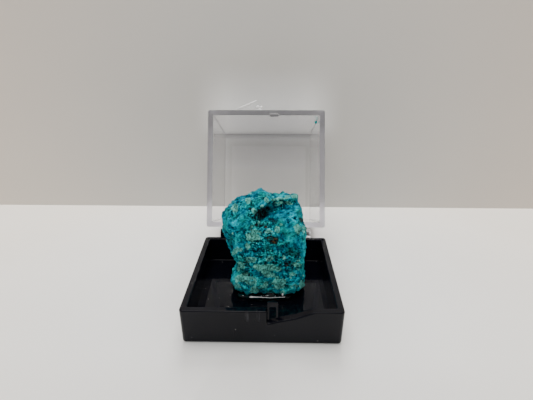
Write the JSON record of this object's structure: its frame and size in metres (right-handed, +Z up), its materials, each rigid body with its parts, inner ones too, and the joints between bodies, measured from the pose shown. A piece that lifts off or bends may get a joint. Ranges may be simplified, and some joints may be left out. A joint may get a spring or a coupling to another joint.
{
  "type": "chrysocolla specimen in a hinged thumbnail box",
  "caption": "Chrysocolla mineral specimen fixed with clear glue in a small black tray with a deep clear hinged lid, for handling and display.",
  "frame": {"origin": "middle of the tray's flat underside, which rests on the table", "axes": "+Z up, -Y out of the tray's front, +X to the right seen from the front"},
  "size_m": [0.032, 0.0684, 0.0413],
  "materials": {
    "black_styrene": "glossy black moulded styrene",
    "clear_styrene": "clear moulded styrene, a little violet at its edges",
    "chrysocolla": "crumbly blue-green crust with pale green patches and rusty pits",
    "clear_glue": "clear set hot glue, glossy"
  },
  "bodies": {
    "tray": {"base_tray": "black_styrene", "specimen": "chrysocolla", "glue": "clear_glue"},
    "lid": {"lid": "clear_styrene", "glue_wisp": "clear_glue", "mineral_crumb": "chrysocolla"}
  },
  "joints": [
    {"name": "lid_hinge", "type": "hinge", "parent": "tray", "child": "lid", "pos_m": [0, 0.0176, 0.0081], "axis": [1, 0, 0], "range_deg": [0, 113]}
  ]
}
